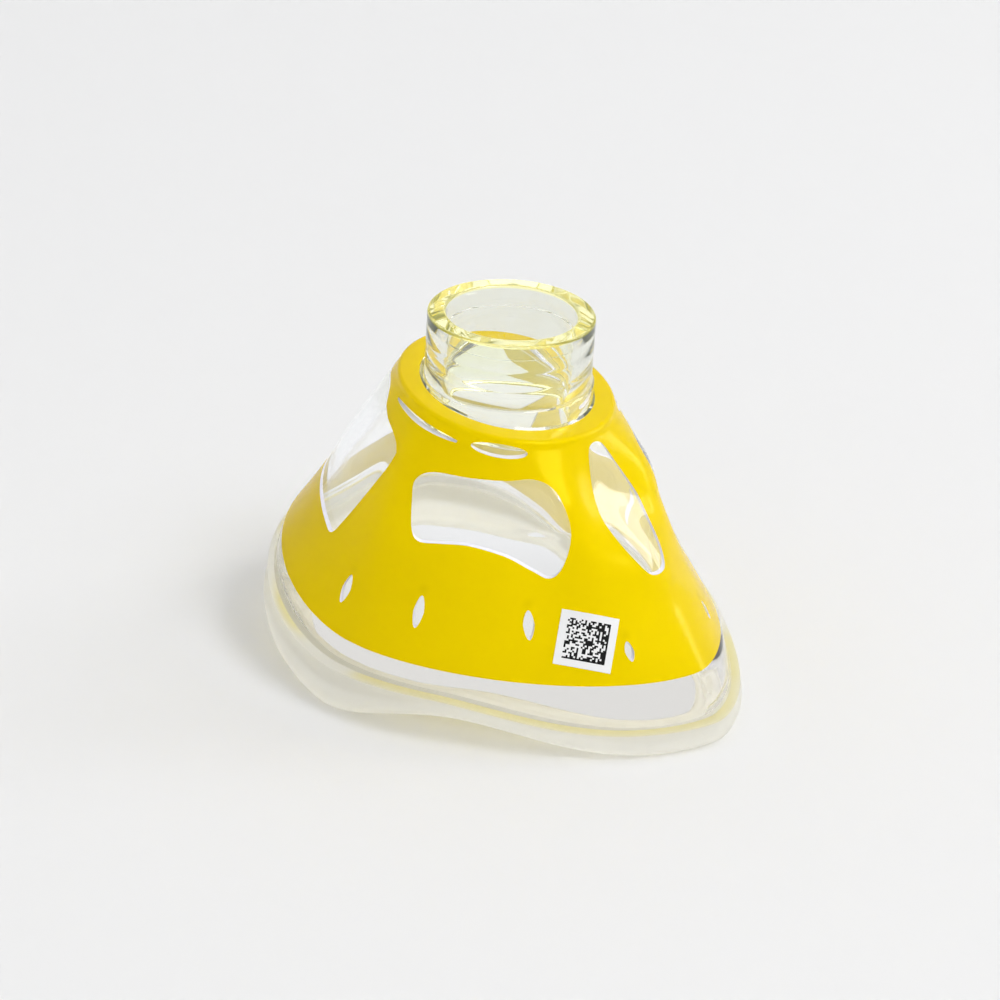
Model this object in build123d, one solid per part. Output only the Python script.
from build123d import *
import math
import os

# Child's anaesthesia face mask: a clear dome with a 22 mm socket, a colour grip skin and a soft face seal.
# Millimetres, +Z up. The mask stands on its seal with the nose end toward +X. Every form is drawn about
# the socket's axis and moved at the end, so that the origin lies under the middle of the seal at its foot.

# Socket, the clear collar that takes a 22 mm breathing connector
socket_bore_radius = 11.2
socket_mouth_radius = 11.45
socket_mouth_depth = 3.7
socket_outer_radius = 14.65
socket_foot_radius = 15.1
socket_length = 12.0
socket_foot_rise = 2.5
socket_skirt_depth = 4.5
socket_edge_round = 0.5
socket_foot_slope = 0.45

# Dome, measured from the socket's axis at its edge above the rim and at the shoulder
edge_height = 12.0
edge_nose_reach = 46.8
edge_side_reach = 36.0
edge_chin_reach = 38.0
shoulder_height = 50.5
shoulder_nose_reach = 19.2
shoulder_side_reach = 19.0
shoulder_chin_reach = 19.6
shoulder_fall = 0.146
shoulder_round = 0.9
nose_bulge = -0.4
nose_fold_rise = 1.4
nose_fold_spread = 14.0
nose_fold_start = 0.25
cheek_fold_rise = 1.5
cheek_fold_angle = 32.0
cheek_fold_spread = 13.5
cheek_fold_level = 0.64
side_bulge = -1.0
chin_bulge = 3.2
edge_nose_power = 1.64
edge_chin_power = 2.25
dome_wall = 2.4

# Colour skin, set flush into the outside of the dome
skin_thickness = 0.9
skin_edge_rise = 0.5
skin_collar_gap = 0.3

# Ridges that run down the dome between the windows
nose_ridge_angle = 22.0
nose_ridge_spread = 9.0
nose_ridge_rise = 1.3
chin_ridge_angle = 98.0
chin_ridge_spread = 13.0
chin_ridge_rise = 1.2

# Rim, the flared clear foot of the dome that the seal grips
seam_nose_reach = 49.6
seam_side_reach = 38.0
seam_chin_reach = 38.6
rim_nose_power = 1.62
rim_chin_power = 2.2
seam_height = 9.0
seam_nose_drop = 4.0
seam_drop_start = 15.0
seam_drop_end = 45.6
rim_depth_share = 0.5

# Seal, the soft ring that meets the face
seal_nose_reach = 52.0
seal_side_reach = 40.5
seal_chin_reach = 40.0
seal_nose_power = 1.6
seal_chin_power = 2.15
seal_overhang = 0.3
seal_side_form = ((0.5, 0.7), (0.0, 0.42), (1.0, 0.12))
seal_sole_inset = 3.2
seal_curl_width = 2.6
seal_curl_height = 0.06
seal_curl_rise = 0.3
seal_lip_width = 8.6
seal_lip_height = 0.25
seal_lip_rise = 0.9
seal_lip_wall = 1.0
seal_lip_round = 0.5
seal_cover = 1.2
seal_cover_lap = 0.3
seal_cover_drop = 0.6
cheek_arch_height = 5.3
cheek_arch_centre = 20.0
cheek_arch_reach = 27.0
chin_lift_height = 10.0
chin_lift_start = -4.0

# Windows in the colour skin
cheek_window_angle = 58.0
cheek_window_left = -12.9
cheek_window_right = 16.0
cheek_window_right_height = 34.4
cheek_window_tip_side = 12.6
cheek_window_top_side = 10.6
cheek_window_top = 42.9
cheek_window_top_sag = 0.6
cheek_window_slope = 0.7
cheek_window_bottom = 30.2
cheek_window_tip = 27.9
cheek_window_arch = 2.1
cheek_window_rounds = (5.0, 3.2, 5.0, 1.8, 1.6)
nose_window_top = 46.6
nose_window_bottom = 27.3
nose_window_half_width = 5.9
nose_window_widest = 35.5
chin_window_angle = 130.0
chin_window_side = 8.8
chin_window_foot = 5.0
chin_window_top = 46.3
chin_window_tip = 25.2
chin_window_arch = 31.0
chin_window_bend = 0.45
chin_window_past_middle = 26.0
chin_window_rounds = (3.0, 1.6)
port_angle = 54.0
port_width = 9.8
port_height = 2.1
port_centre_height = 47.7
port_lean = 5.0

# Leaf slots along the foot of the colour skin: angle, centre height and length of each
slot_places = ((16.5, 18.0, 3.4), (41.5, 21.8, 4.4), (75.5, 20.7, 5.2), (103.5, 19.7, 4.8))
slot_width = 2.0

# Code label on the near cheek
label_side = 10.0
label_angle = -26.5
label_height = 19.9
label_facing = -38.7
label_tilt = 31.0
label_lean = -11.0
label_thickness = 0.15
label_cut_depth = 4.0

# Drawing aids
ring_points = 36
dome_steps = 7
far = 80.0
below = -6.0
margin = 10.0

axis_offset = (seal_chin_reach - seal_nose_reach) / 2
socket_foot_height = shoulder_height + socket_foot_rise
socket_top_height = socket_foot_height + socket_length
socket_skirt_height = shoulder_height - socket_skirt_depth


def oval_radius(angle, nose, side, chin, nose_power, chin_power):
    """Distance from the axis to an egg-shaped outline in one direction."""
    along = abs(math.cos(angle))
    across = abs(math.sin(angle))
    reach = nose if math.cos(angle) >= 0 else chin
    power = nose_power if math.cos(angle) >= 0 else chin_power
    return ((along / reach) ** power + (across / side) ** power) ** (-1 / power)


def chin_lift(x):
    """Rise of every rim line toward the chin, which curves up round the jaw."""
    span = seal_chin_reach + chin_lift_start
    past = max(0.0, chin_lift_start - x) / span
    return chin_lift_height * past**1.5


def seal_foot_line(x):
    """Height of the seal's underside, arched over each cheek and lifted at the chin."""
    share = (x - cheek_arch_centre) / cheek_arch_reach
    arch = math.cos(math.pi / 2 * share) ** 2 if abs(share) < 1 else 0.0
    return cheek_arch_height * arch + chin_lift(x)


def seam_line(x):
    """Height of the visible joint between clear rim and seal."""
    share = min(max((x - seam_drop_start) / (seam_drop_end - seam_drop_start), 0.0), 1.0)
    return seam_height - seam_nose_drop * share**2 * (3 - 2 * share) + chin_lift(x)


def rim_line(x):
    """Height of the rim's hidden lower edge inside the seal."""
    return seam_line(x) - rim_depth_share * (seam_line(x) - seal_foot_line(x))


def skin_edge_line(x):
    """Height of the colour skin's lower edge."""
    return edge_height + skin_edge_rise + chin_lift(x)


def dome_radius(angle, level):
    """Outer radius of the dome, from level 0 at its edge above the rim to level 1 at the shoulder."""
    wave = math.sin(math.pi * level**0.8)
    nose = edge_nose_reach + (shoulder_nose_reach - edge_nose_reach) * level + nose_bulge * wave
    side = edge_side_reach + (shoulder_side_reach - edge_side_reach) * level + side_bulge * wave
    chin = edge_chin_reach + (shoulder_chin_reach - edge_chin_reach) * level + chin_bulge * wave
    nose_power = edge_nose_power + (2.0 - edge_nose_power) * level
    chin_power = edge_chin_power + (2.0 - edge_chin_power) * level
    return oval_radius(angle, nose, side, chin, nose_power, chin_power) + relief(angle, level)


def cheek_fold(turn, level):
    """Fold beside the nose, hollow under its level and bulged above it."""
    spread = math.exp(-(((turn - cheek_fold_angle) / cheek_fold_spread) ** 2))
    if level < cheek_fold_level:
        return -cheek_fold_rise * spread * math.sin(math.pi * level / cheek_fold_level)
    return cheek_fold_rise * spread * math.sin(math.pi * (level - cheek_fold_level) / (1 - cheek_fold_level))


def relief(angle, level):
    """Height above the plain dome of its four ridges and of the folds across and beside the nose."""
    turn = abs(math.degrees(math.atan2(math.sin(angle), math.cos(angle))))
    grow = math.sin(math.pi * level**1.4)
    nose = nose_ridge_rise * math.exp(-(((turn - nose_ridge_angle) / nose_ridge_spread) ** 2))
    chin = chin_ridge_rise * math.exp(-(((turn - chin_ridge_angle) / chin_ridge_spread) ** 2))
    share = max(0.0, level - nose_fold_start) / (1 - nose_fold_start)
    fold = nose_fold_rise * math.exp(-((turn / nose_fold_spread) ** 2)) * math.sin(2 * math.pi * share)
    return grow * (nose + chin) + fold + cheek_fold(turn, level)


def ring(radius_of, height_of):
    """Closed smooth wire round the axis from a radius by angle and a height by x."""
    points = []
    for step in range(ring_points):
        angle = 2 * math.pi * step / ring_points
        radius = radius_of(angle)
        x = radius * math.cos(angle)
        points.append(Vector(x, radius * math.sin(angle), height_of(x)))
    return Wire([Edge.make_spline(points, periodic=True)])


def rim_ring(inset, height_of):
    """Ring of the flared rim at the given height line."""
    reach = (seam_nose_reach, seam_side_reach, seam_chin_reach, rim_nose_power, rim_chin_power)
    return ring(lambda angle: oval_radius(angle, *reach) - inset, height_of)


def dome_ring(level, inset, drop):
    """Ring of the dome at one level, set in from the outer form and dropped toward its top."""
    rise = (shoulder_height - edge_height) * level - drop * level
    settle = max(0.0, 1 - 2 * level) ** 1.5
    fall = shoulder_fall * level**2
    return ring(
        lambda angle: dome_radius(angle, level) - inset,
        lambda x: edge_height + rise + chin_lift(x) * settle - fall * x,
    )


def shoulder_ring(inset, drop, share):
    """Ring of the rounded shoulder, from its outer edge at share 0 to its flat top at share 1."""
    turn = math.pi / 2 * share
    come_in = shoulder_round * (1 - math.cos(turn))
    go_up = shoulder_round * math.sin(turn)
    height = shoulder_height - drop + go_up
    return ring(
        lambda angle: dome_radius(angle, 1.0) - inset - come_in,
        lambda x: height - shoulder_fall * x,
    )


def dome_faces(inset, drop, foot_line):
    """Faces of the dome from its foot line up over the shoulder, with the foot's own ring."""
    rim = [rim_ring(inset, foot_line), rim_ring(inset, seam_line), dome_ring(0.0, inset, drop)]
    dome = [dome_ring(step / dome_steps, inset, drop) for step in range(1, dome_steps)]
    dome = [rim[-1], *dome, shoulder_ring(inset, drop, 0.0)]
    shoulder = [dome[-1], shoulder_ring(inset, drop, 0.5), shoulder_ring(inset, drop, 1.0)]
    faces = [Face(shoulder[-1])]
    faces += Shell.make_loft(rim, True).faces()
    faces += Shell.make_loft(dome, False).faces()
    faces += Shell.make_loft(shoulder, False).faces()
    return faces, rim[0]


def dome_solid(inset, drop):
    """Solid dome inside the outer form, closed flat below the rim."""
    faces, foot = dome_faces(inset, drop, lambda x: below)
    return Solid(Shell([*faces, Face(foot)]))


def dome_wall_solid():
    """Thick clear wall of dome and rim, open at its foot and still closed at the top."""
    outer, outer_foot = dome_faces(0.0, 0.0, rim_line)
    inner, inner_foot = dome_faces(dome_wall, dome_wall, rim_line)
    edge = Shell.make_loft([outer_foot, inner_foot], True).faces()
    return Solid(Shell([*outer, *inner, *edge]))


def facing_plane(angle):
    """Upright plane through the axis that faces outward at an angle, with its y up the axis."""
    turn = math.radians(angle)
    return Plane(
        origin=(0, 0, 0),
        x_dir=(-math.sin(turn), math.cos(turn), 0),
        z_dir=(math.cos(turn), math.sin(turn), 0),
    )


def radial_cutter(face, angle):
    """Prism that carries a flat outline outward from inside the socket's foot."""
    placed = facing_plane(angle) * Pos(0, 0, socket_bore_radius / 2) * face
    return extrude(placed, amount=far)


def round_corners(face, corners, radii):
    """Flat outline with the named corners rounded."""
    for corner, radius in zip(corners, radii):
        face = fillet(face.vertices().sort_by_distance((*corner, 0))[0], radius)
    return face


def cheek_window():
    """Broad cheek window with an arched foot and a tip toward the nose."""
    left_foot = (cheek_window_left, cheek_window_bottom)
    left_top = (cheek_window_left, cheek_window_top)
    right_top = (cheek_window_top_side, cheek_window_top + cheek_window_slope)
    right_side = (cheek_window_right, cheek_window_right_height)
    tip = (cheek_window_tip_side, cheek_window_tip)
    top_middle = ((left_top[0] + right_top[0]) / 2, (left_top[1] + right_top[1]) / 2 - cheek_window_top_sag)
    foot_middle = ((left_foot[0] + tip[0]) / 2, cheek_window_bottom + cheek_window_arch)
    top = ThreePointArc(left_top, top_middle, right_top)
    sides = Polyline(right_top, right_side, tip)
    foot = ThreePointArc(tip, foot_middle, left_foot)
    face = make_face([top, sides, foot, Line(left_foot, left_top)])
    corners = (left_top, right_top, right_side, left_foot, tip)
    return round_corners(face, corners, cheek_window_rounds)


def nose_window():
    """Leaf-shaped window on the nose, widest a little below its middle."""
    above = nose_window_top - nose_window_widest
    under = nose_window_widest - nose_window_bottom
    half = [
        (nose_window_half_width * 0.5, nose_window_widest + above * 0.8),
        (nose_window_half_width * 0.86, nose_window_widest + above * 0.42),
        (nose_window_half_width, nose_window_widest),
        (nose_window_half_width * 0.68, nose_window_widest - under * 0.62),
    ]
    other = [(-y, z) for y, z in reversed(half)]
    points = [(0, nose_window_top), *half, (0, nose_window_bottom), *other]
    return make_face(Spline(*points, periodic=True))


def chin_window_half():
    """One half of the chin window, from its cheek side to past the middle of the chin."""
    side_top = (chin_window_side, chin_window_top)
    tip = (chin_window_foot, chin_window_tip)
    middle_foot = (-chin_window_past_middle, chin_window_arch)
    middle_top = (-chin_window_past_middle, chin_window_top)
    bend_share = chin_window_bend
    bend = (
        chin_window_foot + (middle_foot[0] - chin_window_foot) * bend_share,
        chin_window_tip + (chin_window_arch - chin_window_tip) * (bend_share + 1 - bend_share**2) / 2,
    )
    sides = Polyline(middle_foot, middle_top, side_top, tip)
    face = make_face([sides, ThreePointArc(tip, bend, middle_foot)])
    return round_corners(face, (side_top, tip), chin_window_rounds)


def port():
    """Small oval port under the shoulder, which leans with it."""
    return Pos(0, port_centre_height) * Rot(0, 0, -port_lean) * Ellipse(port_width / 2, port_height / 2)


def leaf(length, width):
    """Upright leaf outline with pointed ends."""
    top = (0, length / 2)
    foot = (0, -length / 2)
    right = ThreePointArc(top, (width / 2, 0), foot)
    left = ThreePointArc(foot, (-width / 2, 0), top)
    return make_face([right, left])


def near_side_cutters():
    """Prisms of every window and slot on the near side, where y is negative."""
    cutters = [
        radial_cutter(cheek_window(), -cheek_window_angle),
        radial_cutter(chin_window_half(), -chin_window_angle),
        radial_cutter(port(), -port_angle),
    ]
    for angle, height, length in slot_places:
        cutters.append(radial_cutter(Pos(0, height) * leaf(length, slot_width), -angle))
    return cutters


def skin_region():
    """Everything above the skin's lower edge, a curve seen from the side."""
    left = -seal_chin_reach - margin
    right = seal_nose_reach + margin
    span = chin_lift_start - left
    curve = [(left + span * step / 6, skin_edge_line(left + span * step / 6)) for step in range(7)]
    edge = Spline(*curve, tangents=[(1, -1), (1, 0)], tangent_scalars=[1, 1])
    rest = Polyline(curve[-1], (right, edge_height), (right, far), (left, far), curve[0])
    profile = make_face([edge, rest])
    return extrude(Plane.XZ * profile, amount=far, both=True)


def skin_tool():
    """Space that the colour skin fills within the wall, with its windows left out."""
    near = near_side_cutters()
    both = near + [mirror(cutter, about=Plane.XZ) for cutter in near]
    both.append(radial_cutter(nose_window(), 0))
    collar = Pos(0, 0, far) * Cylinder(socket_foot_radius + skin_collar_gap, 2 * far)
    return skin_region() - dome_solid(skin_thickness, skin_thickness) - collar - both


def socket_body():
    """Outside of the clear socket, before its bore: a collar with a wider foot and a rounded mouth."""
    profile = Polyline(
        (0, socket_skirt_height),
        (socket_foot_radius, socket_skirt_height),
        (socket_foot_radius, socket_foot_height),
        (socket_outer_radius, socket_foot_height + socket_foot_slope),
        (socket_outer_radius, socket_top_height),
        (0, socket_top_height),
        (0, socket_skirt_height),
    )
    body = revolve(Plane.XZ * make_face(profile), Axis.Z)
    top_edge = body.edges().filter_by(GeomType.CIRCLE).sort_by(Axis.Z)[-1]
    return fillet(top_edge, socket_edge_round)


def socket_bore():
    """Bore for a 22 mm connector, with a slightly wider mouth."""
    bore = Pos(0, 0, far / 2) * Cylinder(socket_bore_radius, far)
    mouth_foot = socket_top_height - socket_mouth_depth
    mouth = Pos(0, 0, mouth_foot + far / 2) * Cylinder(socket_mouth_radius, far)
    return bore + mouth


def seal_ring(inset, share, extra):
    """Ring of the seal by its inset from the outline and its place between foot and seam."""
    reach = (seal_nose_reach, seal_side_reach, seal_chin_reach, seal_nose_power, seal_chin_power)

    def height(x):
        foot = seal_foot_line(x)
        return foot + share * (seam_line(x) - foot) + extra

    return ring(lambda angle: oval_radius(angle, *reach) - inset, height)


def seal_body():
    """Soft seal before its seat is cut: bulged outside, rolled under and back to a free inner lip."""
    cover = dome_wall + seal_cover
    lip = seal_lip_width
    outside = [rim_ring(-seal_overhang, seam_line)]
    outside += [seal_ring(inset, share, 0.0) for inset, share in seal_side_form]
    outside.append(seal_ring(seal_sole_inset, 0.0, 0.0))
    sole = [
        outside[-1],
        seal_ring(lip - seal_curl_width, seal_curl_height, seal_curl_rise),
        seal_ring(lip, seal_lip_height, seal_lip_rise),
    ]
    inside = [
        sole[-1],
        seal_ring(lip - seal_lip_round, seal_lip_height, seal_lip_rise + seal_lip_wall),
        seal_ring(lip - seal_curl_width, seal_lip_height, seal_lip_wall),
        rim_ring(cover, lambda x: rim_line(x) + seal_cover_lap),
        rim_ring(cover, lambda x: seam_line(x) - seal_cover_drop),
        outside[0],
    ]
    faces = [*Shell.make_loft(outside, False).faces()]
    faces += Shell.make_loft(sole, False).faces()
    faces += Shell.make_loft(inside, True).faces()
    return Solid(Shell(faces))


def label_piece(dome):
    """Square label that follows the skin on the near cheek."""
    level = (label_height - edge_height) / (shoulder_height - edge_height)
    turn = math.radians(label_angle)
    reach = dome_radius(turn, level)
    facing = math.radians(label_facing)
    tilt = math.radians(label_tilt)
    plane = Plane(
        origin=(reach * math.cos(turn), reach * math.sin(turn), label_height),
        x_dir=(-math.sin(facing), math.cos(facing), 0),
        z_dir=(math.cos(facing) * math.cos(tilt), math.sin(facing) * math.cos(tilt), math.sin(tilt)),
    )
    square = plane * Rot(0, 0, label_lean) * Rectangle(label_side, label_side)
    prism = extrude(square, amount=label_cut_depth, both=True)
    rise = label_thickness / math.cos(tilt)
    return dome_solid(-rise, -rise) & prism - dome


def build():
    """Make every piece and write it as its own STEP file."""
    wall = dome_wall_solid()
    tool = skin_tool()
    skin = wall & tool
    shell = wall - tool + socket_body() - socket_bore()
    seal = seal_body() - shell
    label = label_piece(dome_solid(0.0, 0.0))
    pieces = {"clear_shell": shell, "grip_skin": skin, "face_seal": seal, "code_label": label}
    os.makedirs("parts", exist_ok=True)
    for name, piece in pieces.items():
        placed = Pos(axis_offset, 0, 0) * piece
        placed.label = name
        export_step(placed, f"parts/{name}.step")
        print(name, len(placed.solids()), "solids", round(placed.volume, 1), "mm3")


build()
